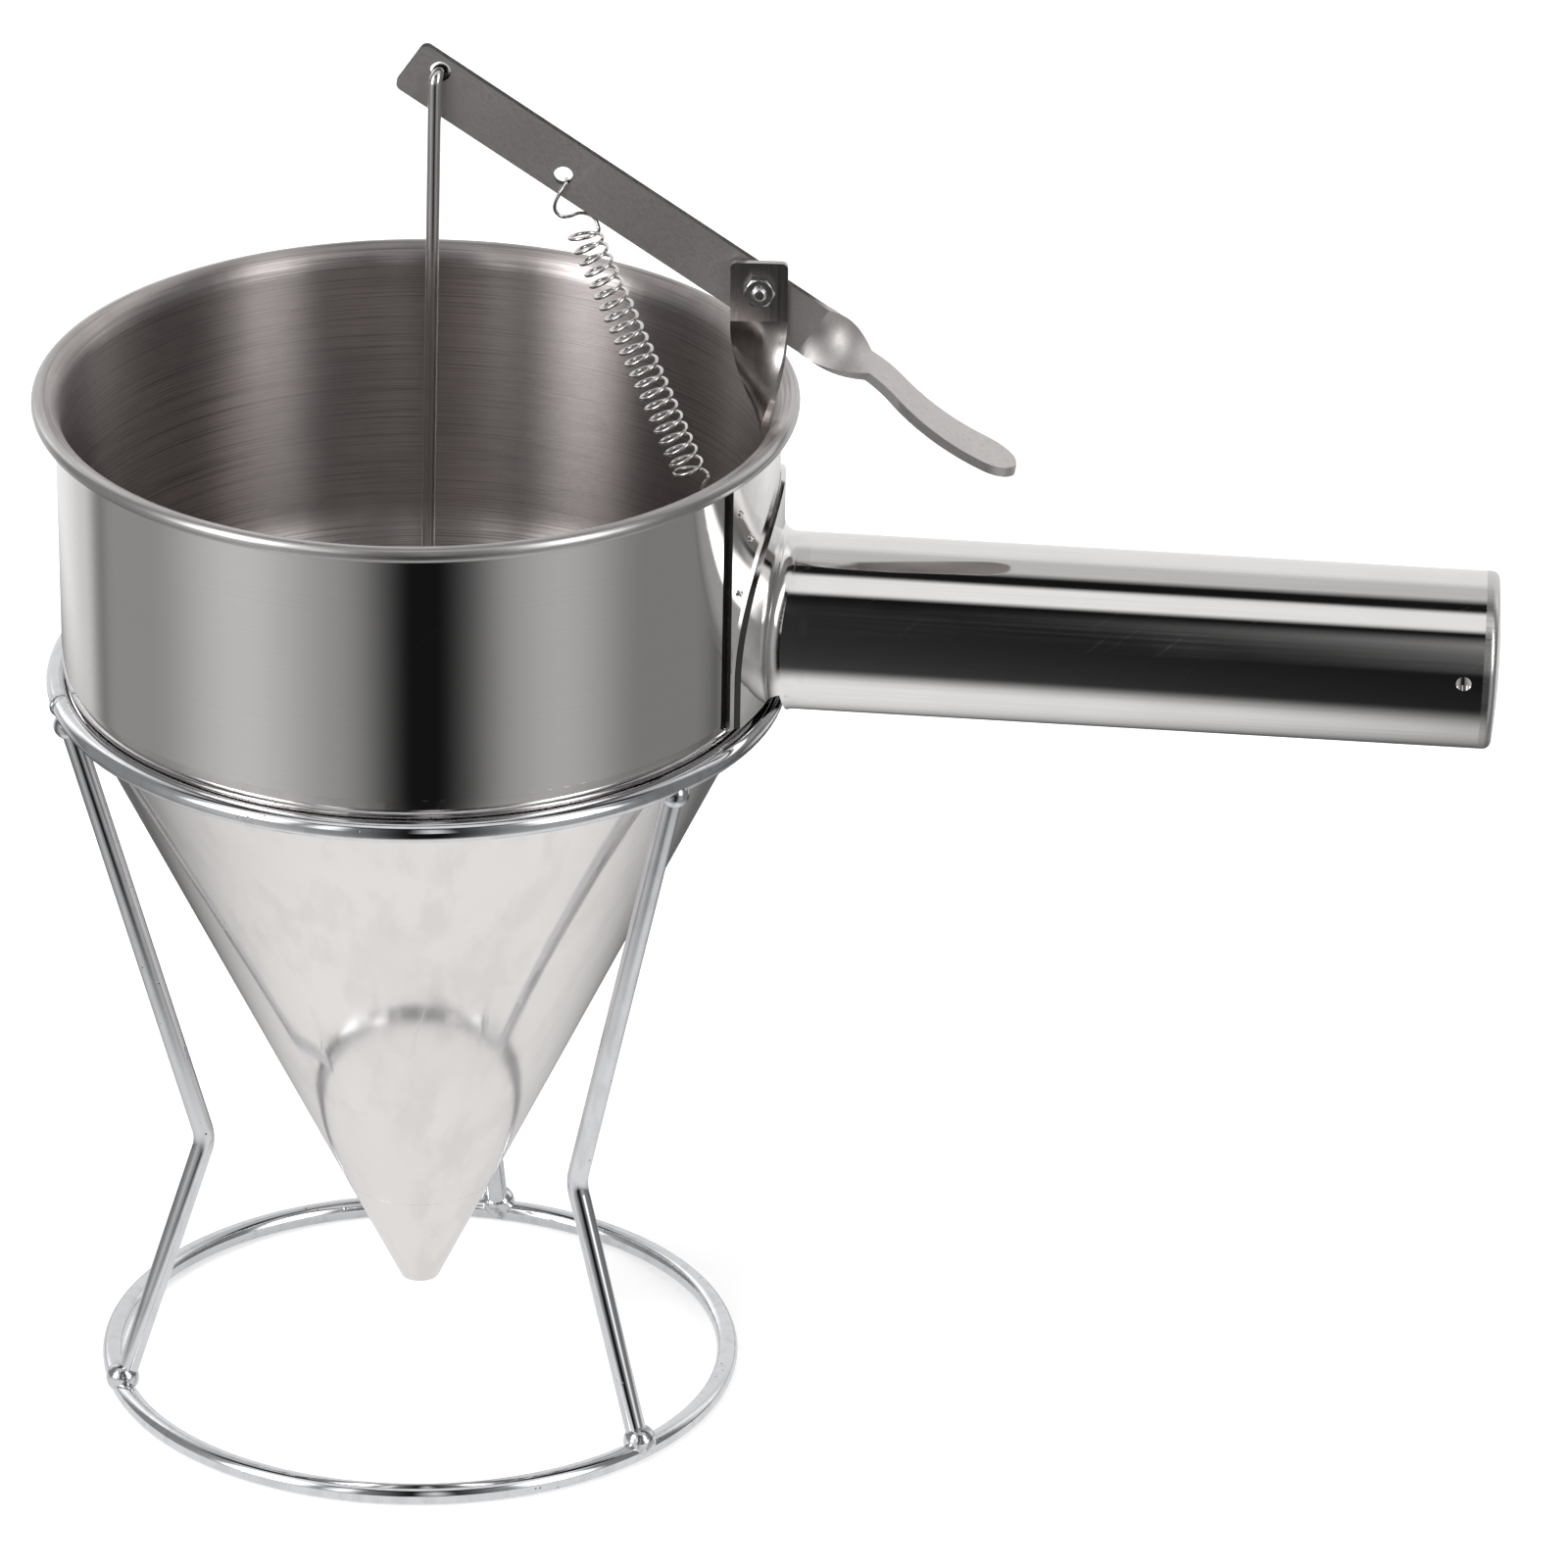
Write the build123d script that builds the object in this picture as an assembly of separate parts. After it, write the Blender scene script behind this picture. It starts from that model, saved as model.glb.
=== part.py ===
from build123d import *
import os
from math import asin, atan2, cos, degrees, hypot, pi, radians, sin, sqrt, tan

# Pancake batter dispenser: a steel funnel hopper with a tube handle and a sprung lever that lifts
# a plug out of the outlet, standing in a wire stand.
# Millimetres and degrees. Z is the axis of the stand and the hopper, +X runs along the handle,
# and Z = 0 is the table. The lever is modelled pressed, with the outlet open.

# ---------------------------------------------------------------- stand
STAND_WIRE = 4.2           # diameter of the stand's wire
BASE_RING_R = 61.9         # centreline radius of the ring on the table
SEAT_ANGLE = 25.0          # below level, where the seat ring meets the hopper's shoulder
LEG_COUNT = 3
FIRST_LEG_ANGLE = -41.0
WAIST_IN = 17.9            # from the base ring in to where the legs are bent
WAIST_Z = 55.4
LEG_BEND_R = 8.0
LEG_SHORT = 0.5            # from the middle of a ring's wire to the end of a leg, before it is coped
TOP_WELD_R = 2.8           # weld bead at the top of a leg, clear of the hopper
FOOT_WELD_R = 3.3          # weld bead at the foot of a leg
WELD_OUT = 0.5             # how far the beads stand out from the leg's middle
SEAT_CLEARANCE = 0.3       # between the seat ring and the hopper's shoulder

# ---------------------------------------------------------------- hopper
CREASE_Z = 158.0           # where the band meets the shoulder
BAND_HEIGHT = 53.8         # from the crease to the middle of the rim's curl
BAND_TOP_R = 70.4          # outside radius under the rim
BAND_TAPER = 0.6           # how much narrower the band is at the crease
WALL = 0.8                 # sheet of the band and the cone
SHOULDER_R = 12.0          # outside radius of the bend from the band into the cone
OUTLET_R = 3.8             # outside radius of the cut end of the cone
OUTLET_Z = 19.0
SPOUT_HEIGHT = 23.0        # the tip of the cone, a piece of its own
RIM_OUT = 3.0              # from the band's outside to the middle of the rim's curl
CURL_R = 1.6               # outside radius of the curl
FLARE_BEND_R = 4.6         # inside-wall radius of the bend under the flare
FLARE_ANGLE = 25.0         # slope of the flare between the bend and the curl
CURL_TURN = 250.0          # how far round the edge of the sheet is curled

# ---------------------------------------------------------------- handle
HANDLE_ROOT_OUT = 2.11     # point on the handle's axis, from the band's outside
HANDLE_ROOT_RISE = 8.2     # and above the crease
HANDLE_DROOP = 2.0         # slope of the handle below level
TUBE_R = 17.5
TUBE_WALL = 1.0
TUBE_START = 5.0           # from the root point, along the axis
TUBE_END = 137.3
NECK_FILLET = 3.0          # from the flange into the neck
CAP_EDGE = 2.6             # straight part of the cap outside the tube
CAP_DOME = 0.8             # rise of the cap's face
CAP_ROUND = 1.6
CAP_SPIGOT = 6.0           # length of the cap inside the tube
CRIMP_DIA = 3.0            # dents that hold the cap
CRIMP_DEPTH = 0.4
CRIMP_FROM_END = 3.6
CRIMP_ANGLE = 8.5          # above the handle's middle
PLATE = 1.0                # sheet of the saddle and the flange
LAP = 0.05                 # between sheets that are welded face to face
SADDLE_ANGLE = 26.8        # half the arc that the saddle covers
SADDLE_FOOT_DROP = 1.5     # of the saddle's lower edge below the crease
SADDLE_TOP_GAP = 3.3       # from the saddle's top edge to the middle of the curl
FLANGE_HALF_WIDTH = 30.4   # also the radius of the flange's arch
RING_RELIEF = 0.6          # between the seat ring and the handle's root

# ---------------------------------------------------------------- lever
PIVOT_IN = 3.4             # from the outside of the band's top to the pivot
PIVOT_RISE = 25.1          # from the middle of the rim's curl
LEVER_ANGLE = 34.5         # the bar's slope as modelled
CLOSING_TURN = 16.7        # from there to the plug's seat
BAR_WIDTH = 10.8
BAR_T = 1.8
BAR_PAST_HOLE = 5.7        # from the rod's hole to the front end
BAR_BACK = 14.0            # from the pivot to the start of the twist
BAR_OFFSET = -2.0          # middle of the bar from the pivot, square to the bar
BAR_CORNER = 1.5
TWIST_LENGTH = 13.0
PAD_WIDTH = 12.6
PAD_DIP_R = 30.0           # bend down behind the twist
PAD_DIP_TURN = 14.0
PAD_SWEEP_R = 57.0         # dished length under the thumb
PAD_SWEEP_TURN = 29.0
ROD_HOLE_PAST = 0.86       # of the rod's hole beyond the hopper's axis, halfway through its travel
ROD_HOLE_V = 0.35          # from the pivot, square to the bar
ROD_HOLE_R = 2.05
SPRING_HOLE_U = 44.0       # from the pivot along the bar
SPRING_HOLE_V = -3.65
SPRING_HOLE_R = 1.9

# ---------------------------------------------------------------- bracket and pivot
STRAP_WIDTH = 11.2
STRAP_T = 1.4
STRAP_BACK = 0.1           # from the pivot to the strap's middle
STRAP_Y = 0.2              # the strap's middle beside the hopper's middle plane
STRAP_HEAD = 5.4           # of the strap above the pivot
STRAP_CORNER = 1.2
STRAP_FLAT = 6.9           # of the strap below the pivot, before it twists
STRAP_TWIST = 23.0         # height of the quarter turn
STRAP_SETTLE = 12          # power that keeps the strap off the rim until the end of its twist
EAR_DROP = 21.6            # from the middle of the rim's curl to the ear's top face
EAR_LENGTH = 12.4          # from the strap's inner face
EAR_BEND_R = 1.2
EAR_HOLE_R = 1.2
EAR_HOLE_BACK = 2.7        # from the ear's end
TWIST_STEPS = 8            # sections in each quarter turn
SPACER_T = 0.6
SPACER_R = 3.5
LEVER_PLAY = 0.1           # between the spacer and the lever
BOLT_R = 1.5
PIVOT_CLEARANCE = 0.05     # round the bolt in the lever
NUT_FLATS = 5.5
NUT_T = 2.4
NUT_CHAMFER = 0.08         # from the flats in to the round face
NUT_CHAMFER_ANGLE = 30.0
BOLT_TAIL = 1.2            # of the bolt beyond the nut
BOLT_TAIL_ROUND = 0.75
BOLT_HEAD_R = 2.9
BOLT_HEAD_T = 2.0
BOLT_HEAD_EDGE = 0.6       # straight side of the head under its dome

# ---------------------------------------------------------------- rod and plug
ROD_R = 1.3
HOOK_SKEW = 20.0           # of the hook about the rod, from square to the lever
HOOK_TAIL = 7.0
HOOK_DROP = 0.15           # of the hook in its hole
PLUG_SEAT_RISE = 1.0       # of the seated plug's foot above the outlet
PLUG_HEIGHT = 6.5
PLUG_CLEARANCE = 0.3       # from the cone when it is seated
PLUG_COLLAR_R = 3.2
PLUG_COLLAR_H = 6.0
PLUG_BORE_DEPTH = 5.0
PLUG_EDGE = 0.4

# ---------------------------------------------------------------- spring
SPRING_R = 3.4             # outside radius of the coils
SPRING_WIRE = 0.75
SPRING_NECK = 13.4         # from the lever's hole to the first coil, along the spring
NECK_BOW = 4.6             # how far the neck bows out beside the spring's axis
NECK_BOW_AT = 5.5          # where it bows out most, from the lever's hole
NECK_BACK_AT = 10.1        # where it comes back across the axis
NECK_BEND_R = 1.6
SPRING_ASIDE = 1.0         # from the line between its two ends to the axis of the coils
SPRING_TAIL = 7.8          # from the last coil to the ear
TAIL_STRAIGHT = 1.75       # of the wire past the last coil
TAIL_BACK_AT = 3.15        # where it comes back to the axis, from the last coil
SPRING_END = 2.6           # of the wire past the lever and under the ear
SPRING_SINK = 0.05         # how much thicker the sleeve is on each side than the wire that leaves it
SPRING_BEND_R = 0.6        # where the wire turns through the lever and under the ear

# ---------------------------------------------------------------- derived
wire_r = STAND_WIRE / 2
rim_z = CREASE_Z + BAND_HEIGHT
rim_r = BAND_TOP_R + RIM_OUT
band_foot_r = BAND_TOP_R - BAND_TAPER
spout_top_z = OUTLET_Z + SPOUT_HEIGHT
# The seat ring lies against the shoulder from outside and below.
shoulder_x = band_foot_r - SHOULDER_R
seat_reach = SHOULDER_R + SEAT_CLEARANCE + wire_r
seat_ring_r = shoulder_x + seat_reach * cos(radians(SEAT_ANGLE))
seat_z = CREASE_Z - seat_reach * sin(radians(SEAT_ANGLE))
# The cone's wall runs from the outlet's edge tangent to the shoulder's bend.
to_shoulder = hypot(shoulder_x - OUTLET_R, CREASE_Z - OUTLET_Z)
cone_angle = degrees(atan2(shoulder_x - OUTLET_R, CREASE_Z - OUTLET_Z) + asin(SHOULDER_R / to_shoulder))
cone_slope = tan(radians(cone_angle))
cone_wall_across = WALL / cos(radians(cone_angle))

bar_near_y = STRAP_Y + STRAP_T / 2 + SPACER_T + LEVER_PLAY
bar_y = bar_near_y + BAR_T / 2
pivot = Vector(BAND_TOP_R - PIVOT_IN, bar_y, rim_z + PIVOT_RISE)
lever_u = Vector(-cos(radians(LEVER_ANGLE)), 0, sin(radians(LEVER_ANGLE)))
lever_v = Vector(sin(radians(LEVER_ANGLE)), 0, cos(radians(LEVER_ANGLE)))
rod_hole_u = (pivot.X + ROD_HOLE_PAST) / cos(radians(LEVER_ANGLE - CLOSING_TURN / 2))
bar_front = rod_hole_u + BAR_PAST_HOLE

strap_x = pivot.X - STRAP_BACK
twist_top_z = pivot.Z - STRAP_FLAT
twist_foot_z = twist_top_z - STRAP_TWIST
ear_z = rim_z - EAR_DROP - STRAP_T / 2


def band_outer(z):
    """Outside radius of the band at a height."""
    return band_foot_r + BAND_TAPER * (z - CREASE_Z) / BAND_HEIGHT


def cone_outer(z):
    """Outside radius of the cone at a height below the shoulder."""
    return OUTLET_R + (z - OUTLET_Z) * cone_slope


def cone_inner(z):
    """Inside radius of the cone at a height below the shoulder."""
    return cone_outer(z) - cone_wall_across


handle_dir = Vector(cos(radians(HANDLE_DROOP)), 0, -sin(radians(HANDLE_DROOP)))
root_z = CREASE_Z + HANDLE_ROOT_RISE
handle_root = Vector(band_outer(root_z) + HANDLE_ROOT_OUT, 0, root_z)


def on_lever(u, v):
    """A point in the lever's middle plane, from the pivot along and square to the bar."""
    return pivot + lever_u * u + lever_v * v


def polar(centre, radius, angle):
    """A point in a flat profile, by its angle about a centre."""
    return (centre[0] + radius * cos(radians(angle)), centre[1] + radius * sin(radians(angle)))


def arc(centre, radius, start, turn):
    """An arc in a flat profile, by its start angle and its turn."""
    middle = polar(centre, radius, start + turn / 2)
    return ThreePointArc(polar(centre, radius, start), middle, polar(centre, radius, start + turn))


def dome(edge_r, edge_y, rise):
    """The arc of a shallow dome in a flat profile, from its edge to the axis."""
    ball_r = (edge_r ** 2 + rise ** 2) / (2 * rise)
    centre = (0, edge_y + rise - ball_r)
    half = degrees(asin(edge_r / ball_r))
    return arc(centre, ball_r, 90 - half, half)


def turned(lines, turn=360.0, start=0.0):
    """The profile in the XZ plane turned about the Z axis."""
    profile = Plane.XZ * make_face(Curve() + lines)
    return Rot(0, 0, start) * revolve(profile, Axis.Z, turn)


# ---------------------------------------------------------------- stand
def ring(radius, z):
    """A level ring of the stand's wire."""
    return Pos(0, 0, z) * Torus(radius, wire_r)


def leg_points():
    """Where a leg meets the seat ring, is bent and meets the base ring."""
    waist = Vector(BASE_RING_R - WAIST_IN, 0, WAIST_Z)
    return [Vector(seat_ring_r, 0, seat_z), waist, Vector(BASE_RING_R, 0, wire_r)]


def leg():
    """A bent wire, coped to the two rings at its ends."""
    top, waist, foot = leg_points()
    start = top + (waist - top).normalized() * LEG_SHORT
    end = foot + (waist - foot).normalized() * LEG_SHORT
    path = FilletPolyline(start, waist, end, radius=LEG_BEND_R)
    section = Plane(start, z_dir=waist - top) * Circle(wire_r)
    return sweep(section, path) - ring(seat_ring_r, seat_z) - ring(BASE_RING_R, wire_r)


def weld(end, towards, radius, ring_solid, leg_solid):
    """A bead in the corner between a ring and the end of a leg, fuller on the outside."""
    centre = end + (towards - end).normalized() * wire_r + Vector(WELD_OUT, 0, 0)
    return Pos(centre) * Sphere(radius) - ring_solid - leg_solid


# ---------------------------------------------------------------- hopper
def hopper_band():
    """The straight wall, flared at the top and curled into the rim."""
    inner_bend = FLARE_BEND_R
    outer_bend = FLARE_BEND_R - WALL
    top_inner = BAND_TOP_R - WALL
    flare = 90 + FLARE_ANGLE
    bend_x = top_inner + inner_bend
    # The flare's upper face is tangent to the bend's inner-wall arc and to the curl.
    below_curl = (rim_r - bend_x) * sin(radians(FLARE_ANGLE)) + inner_bend - CURL_R
    bend = (bend_x, rim_z - below_curl / cos(radians(FLARE_ANGLE)))
    curl = (rim_r, rim_z)
    inner_wall = Line((band_foot_r - WALL, CREASE_Z), polar(bend, inner_bend, 180))
    bend_above = arc(bend, inner_bend, 180, flare - 180)
    flare_above = Line(polar(bend, inner_bend, flare), polar(curl, CURL_R, flare))
    curl_outside = arc(curl, CURL_R, flare, -CURL_TURN)
    edge = Line(polar(curl, CURL_R, flare - CURL_TURN), polar(curl, CURL_R - WALL, flare - CURL_TURN))
    curl_inside = arc(curl, CURL_R - WALL, flare - CURL_TURN, CURL_TURN)
    flare_below = Line(polar(curl, CURL_R - WALL, flare), polar(bend, outer_bend, flare))
    bend_below = arc(bend, outer_bend, flare, 180 - flare)
    outer_wall = Line(polar(bend, outer_bend, 180), (band_foot_r, CREASE_Z))
    foot = Line((band_foot_r, CREASE_Z), (band_foot_r - WALL, CREASE_Z))
    lines = [inner_wall, bend_above, flare_above, curl_outside, edge, curl_inside]
    return turned(lines + [flare_below, bend_below, outer_wall, foot])


def hopper_cone():
    """The rounded shoulder and the cone, down to the spout."""
    shoulder = (shoulder_x, CREASE_Z)
    outside = arc(shoulder, SHOULDER_R, 0, -cone_angle)
    inside = arc(shoulder, SHOULDER_R - WALL, -cone_angle, cone_angle)
    foot_outside = (cone_outer(spout_top_z), spout_top_z)
    foot_inside = (cone_inner(spout_top_z), spout_top_z)
    lines = [
        outside,
        Line(polar(shoulder, SHOULDER_R, -cone_angle), foot_outside),
        Line(foot_outside, foot_inside),
        Line(foot_inside, polar(shoulder, SHOULDER_R - WALL, -cone_angle)),
        inside,
        Line(polar(shoulder, SHOULDER_R - WALL, 0), polar(shoulder, SHOULDER_R, 0)),
    ]
    return turned(lines)


def hopper_spout():
    """The tip of the cone, cut off square at the outlet."""
    corners = [(cone_inner(z), z) for z in (OUTLET_Z, spout_top_z)]
    corners += [(cone_outer(z), z) for z in (spout_top_z, OUTLET_Z)]
    return turned([Polyline(*corners, close=True)])


# ---------------------------------------------------------------- handle
def wall_sheet(offset, foot_z, top_z, half_angle):
    """A sheet that follows the band's outside at an offset."""
    inside_foot = (band_outer(foot_z) + offset, foot_z)
    inside_top = (band_outer(top_z) + offset, top_z)
    outside_top = (inside_top[0] + PLATE, top_z)
    outside_foot = (inside_foot[0] + PLATE, foot_z)
    corners = [inside_foot, inside_top, outside_top, outside_foot]
    return turned([Polyline(*corners, close=True)], 2 * half_angle, -half_angle)


def handle_cylinder(radius, start, end):
    """A cylinder on the handle's axis between two distances from its root point."""
    base = Plane(handle_root + handle_dir * start, x_dir=(0, 1, 0), z_dir=handle_dir)
    return extrude(base * Circle(radius), end - start)


def handle_saddle():
    """The curved plate between the wall and the flange, from the shoulder up to the rim."""
    return wall_sheet(LAP, CREASE_Z - SADDLE_FOOT_DROP, rim_z - SADDLE_TOP_GAP, SADDLE_ANGLE)


def handle_flange():
    """The arched plate with the neck that the tube is welded to, clear of the seat ring."""
    arch_r = FLANGE_HALF_WIDTH
    low_z = root_z - arch_r
    sheet = wall_sheet(2 * LAP + PLATE, low_z, rim_z, 2 * SADDLE_ANGLE)
    arch = Circle(arch_r) + Pos(0, -arch_r) * Rectangle(2 * arch_r, 2 * arch_r)
    arch_plane = Plane((BAND_TOP_R / 2, 0, root_z), x_dir=(0, 1, 0), z_dir=(1, 0, 0))
    plate = sheet & extrude(arch_plane * arch, BAND_TOP_R)
    inside = Cylinder(band_outer(rim_z) + 2 * LAP + PLATE, 4 * BAND_HEIGHT)
    neck = handle_cylinder(TUBE_R, -TUBE_R, TUBE_START) - Pos(0, 0, CREASE_Z) * inside
    whole = plate + neck
    # The neck leaves the plate along a closed curve as wide as the tube.
    across = [e for e in whole.edges().filter_by(GeomType.BSPLINE) if e.length > 2 * pi * TUBE_R]
    corner = [e for e in across if abs(e.bounding_box().size.Y - 2 * TUBE_R) < LAP]
    whole = fillet(corner, NECK_FILLET)
    whole -= handle_cylinder(TUBE_R - TUBE_WALL, TUBE_START / 2, TUBE_START)
    clear_r = seat_ring_r + wire_r + RING_RELIEF
    foot_z = CREASE_Z - SADDLE_FOOT_DROP
    return whole - Pos(0, 0, foot_z - BAND_HEIGHT / 2) * Cylinder(clear_r, BAND_HEIGHT)


def crimp(side):
    """The ball that dents the tube beside its end."""
    ball_r = ((CRIMP_DIA / 2) ** 2 + CRIMP_DEPTH ** 2) / (2 * CRIMP_DEPTH)
    along = handle_root + handle_dir * (TUBE_END - CRIMP_FROM_END)
    out = TUBE_R - CRIMP_DEPTH + ball_r
    y = side * out * cos(radians(CRIMP_ANGLE))
    return Pos(along + Vector(0, y, out * sin(radians(CRIMP_ANGLE)))) * Sphere(ball_r)


def handle_tube():
    """The grip, dented near its end to hold the cap."""
    tube = handle_cylinder(TUBE_R, TUBE_START, TUBE_END)
    tube -= handle_cylinder(TUBE_R - TUBE_WALL, TUBE_START, TUBE_END)
    return tube - crimp(-1) - crimp(1)


def handle_end_cap():
    """A domed cap with a hollow spigot inside the tube."""
    spigot_r = TUBE_R - TUBE_WALL - LAP
    hollow_r = spigot_r - TUBE_WALL
    face_r = TUBE_R - CAP_ROUND
    top = CAP_EDGE
    lines = [
        Line((0, 0), (0, top + CAP_DOME)),
        dome(face_r, top, CAP_DOME),
        arc((face_r, top - CAP_ROUND), CAP_ROUND, 90, -90),
        Polyline((TUBE_R, top - CAP_ROUND), (TUBE_R, 0), (spigot_r, 0), (spigot_r, -CAP_SPIGOT)),
        Polyline((spigot_r, -CAP_SPIGOT), (hollow_r, -CAP_SPIGOT), (hollow_r, 0), (0, 0)),
    ]
    cap = turned(lines)
    seat = Plane(handle_root + handle_dir * TUBE_END, x_dir=(0, 1, 0), z_dir=handle_dir)
    return seat.location * cap - crimp(-1) - crimp(1)


# ---------------------------------------------------------------- bracket and pivot
def strap_foot_x(z):
    """Middle of the strap where it lies flat on the band's inside with its two edges."""
    inside = band_outer(z) - WALL - LAP
    return sqrt(inside ** 2 - (STRAP_WIDTH / 2) ** 2) - STRAP_T / 2


ear_end_x = strap_foot_x(ear_z) - STRAP_T / 2 - EAR_LENGTH


def strap_section(share):
    """The strap's section at a share of its quarter turn, from facing the lever to facing the wall."""
    angle = radians(-90 * share)
    x = strap_x + (strap_foot_x(twist_foot_z) - strap_x) * share ** STRAP_SETTLE
    y = STRAP_Y * (1 - share)
    z = twist_top_z - STRAP_TWIST * share
    plane = Plane((x, y, z), x_dir=(cos(angle), sin(angle), 0), z_dir=(0, 0, 1))
    return plane * Rectangle(STRAP_WIDTH, STRAP_T)


def pivot_bracket():
    """A strap, flat at the pivot, twisted a quarter turn and flat on the wall, with an ear."""
    head_height = STRAP_HEAD + STRAP_FLAT
    head_plane = Plane((strap_x, STRAP_Y + STRAP_T / 2, twist_top_z), x_dir=(1, 0, 0), z_dir=(0, -1, 0))
    outline = Pos(0, head_height / 2) * Rectangle(STRAP_WIDTH, head_height)
    outline = fillet(outline.vertices().group_by(Axis.Y)[-1], STRAP_CORNER)
    outline -= Pos(STRAP_BACK, STRAP_FLAT) * Circle(BOLT_R)
    head = extrude(head_plane * outline, STRAP_T)
    twist = loft([strap_section(i / TWIST_STEPS) for i in range(TWIST_STEPS + 1)])
    # The foot leans with the band's taper, then bends inwards into the ear.
    top = Vector(strap_foot_x(twist_foot_z), 0, twist_foot_z)
    corner = Vector(strap_foot_x(ear_z), 0, ear_z)
    path = FilletPolyline(top, corner, Vector(ear_end_x, 0, ear_z), radius=EAR_BEND_R + STRAP_T / 2)
    foot = sweep(Plane(top, x_dir=(0, 1, 0), z_dir=(0, 0, -1)) * Rectangle(STRAP_WIDTH, STRAP_T), path)
    hole = Pos(ear_end_x + EAR_HOLE_BACK, 0, ear_z) * Cylinder(EAR_HOLE_R, 3 * STRAP_T)
    return head + twist + foot - hole


def pivot_solid(lines):
    """A turned piece on the pivot's axis: flat profile of radius and y."""
    piece = revolve(make_face(Curve() + lines), Axis.Y, 360)
    return Pos(pivot.X, 0, pivot.Z) * piece


def pivot_spacer():
    """A washer between the strap and the lever."""
    near = STRAP_Y + STRAP_T / 2
    corners = [(BOLT_R, near), (SPACER_R, near), (SPACER_R, near + SPACER_T), (BOLT_R, near + SPACER_T)]
    return pivot_solid([Polyline(*corners, close=True)])


def pivot_bolt():
    """A screw with a domed head behind the lever."""
    head_y = bar_near_y + BAR_T + LEVER_PLAY
    tail_y = STRAP_Y - STRAP_T / 2 - NUT_T - BOLT_TAIL
    dome_y = head_y + BOLT_HEAD_EDGE
    round_centre = (BOLT_R - BOLT_TAIL_ROUND, tail_y + BOLT_TAIL_ROUND)
    lines = [
        Line((0, tail_y), (round_centre[0], tail_y)),
        arc(round_centre, BOLT_TAIL_ROUND, -90, 90),
        Polyline((BOLT_R, round_centre[1]), (BOLT_R, head_y), (BOLT_HEAD_R, head_y), (BOLT_HEAD_R, dome_y)),
        dome(BOLT_HEAD_R, dome_y, BOLT_HEAD_T - BOLT_HEAD_EDGE),
        Line((0, head_y + BOLT_HEAD_T), (0, tail_y)),
    ]
    return pivot_solid(lines)


def pivot_nut():
    """A hexagon nut on the near side of the strap."""
    near = STRAP_Y - STRAP_T / 2
    plane = Plane((pivot.X, near, pivot.Z), x_dir=(1, 0, 0), z_dir=(0, -1, 0))
    corner_r = NUT_FLATS / 2 / cos(radians(30))
    body = extrude(plane * (RegularPolygon(corner_r, 6) - Circle(BOLT_R)), NUT_T)
    # Both faces are turned to a cone that takes the corners off.
    face_r = NUT_FLATS / 2 - NUT_CHAMFER
    lean = (corner_r - face_r) * tan(radians(NUT_CHAMFER_ANGLE))
    far = near - NUT_T
    corners = [(0, near), (face_r, near), (corner_r, near - lean)]
    corners += [(corner_r, far + lean), (face_r, far), (0, far)]
    return body & pivot_solid([Polyline(*corners, close=True)])


# ---------------------------------------------------------------- lever
def twist_section(share):
    """The bar's section at a share of its quarter turn behind the pivot."""
    centre = on_lever(-BAR_BACK - TWIST_LENGTH * share, BAR_OFFSET)
    across = lever_v * cos(radians(90 * share)) + Vector(0, 1, 0) * sin(radians(90 * share))
    return Plane(centre, x_dir=across, z_dir=lever_u * -1) * Rectangle(BAR_WIDTH, BAR_T)


def lever():
    """A flat bar on edge, twisted flat behind the pivot and dished into a thumb pad."""
    flat = Plane(pivot - Vector(0, BAR_T / 2, 0), x_dir=lever_u, z_dir=(0, 1, 0))
    length = bar_front + BAR_BACK
    outline = Pos((bar_front - BAR_BACK) / 2, BAR_OFFSET) * Rectangle(length, BAR_WIDTH)
    outline = fillet(outline.vertices().group_by(Axis.X)[-1], BAR_CORNER)
    outline -= Circle(BOLT_R + PIVOT_CLEARANCE)
    outline -= Pos(rod_hole_u, ROD_HOLE_V) * Circle(ROD_HOLE_R)
    outline -= Pos(SPRING_HOLE_U, SPRING_HOLE_V) * Circle(SPRING_HOLE_R)
    bar = extrude(flat * outline, BAR_T)
    twist = loft([twist_section(i / TWIST_STEPS) for i in range(TWIST_STEPS + 1)])
    start = on_lever(-BAR_BACK - TWIST_LENGTH, BAR_OFFSET)
    side = Plane(start, x_dir=(1, 0, 0), z_dir=(0, -1, 0))
    dip = JernArc((0, 0), (cos(radians(-LEVER_ANGLE)), sin(radians(-LEVER_ANGLE))), PAD_DIP_R, -PAD_DIP_TURN)
    dish = JernArc(dip @ 1, dip % 1, PAD_SWEEP_R, PAD_SWEEP_TURN)
    path = side * (Curve() + [dip, dish])
    section = Plane(start, x_dir=(0, 1, 0), z_dir=lever_u * -1) * Rectangle(PAD_WIDTH, BAR_T)
    pad = sweep(section, path)
    # Seen from above, the pad widens from the bar and ends in a half round.
    reach = (dish @ 1).X
    end_r = PAD_WIDTH / 2
    near_side = [(-end_r, -BAR_WIDTH / 2), (0, -BAR_WIDTH / 2), (end_r, -end_r), (reach - end_r, -end_r)]
    far_side = [(x, -y) for x, y in reversed(near_side)]
    plan = make_face(Polyline(*near_side, *far_side, close=True))
    plan += Pos(reach - end_r, 0) * Circle(end_r)
    depth = PAD_DIP_R + PAD_SWEEP_R
    below = Plane((start.X, start.Y, start.Z - depth), x_dir=(1, 0, 0), z_dir=(0, 0, 1))
    return bar + twist + (pad & extrude(below * plan, 2 * depth))


# ---------------------------------------------------------------- rod and plug
hook_r = bar_y / cos(radians(HOOK_SKEW))
hook = on_lever(rod_hole_u, ROD_HOLE_V)


def turned_about_y(vector, angle):
    """A vector turned the way that a joint on the +Y axis turns it."""
    return vector.rotate(Axis.Y, angle)


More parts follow.
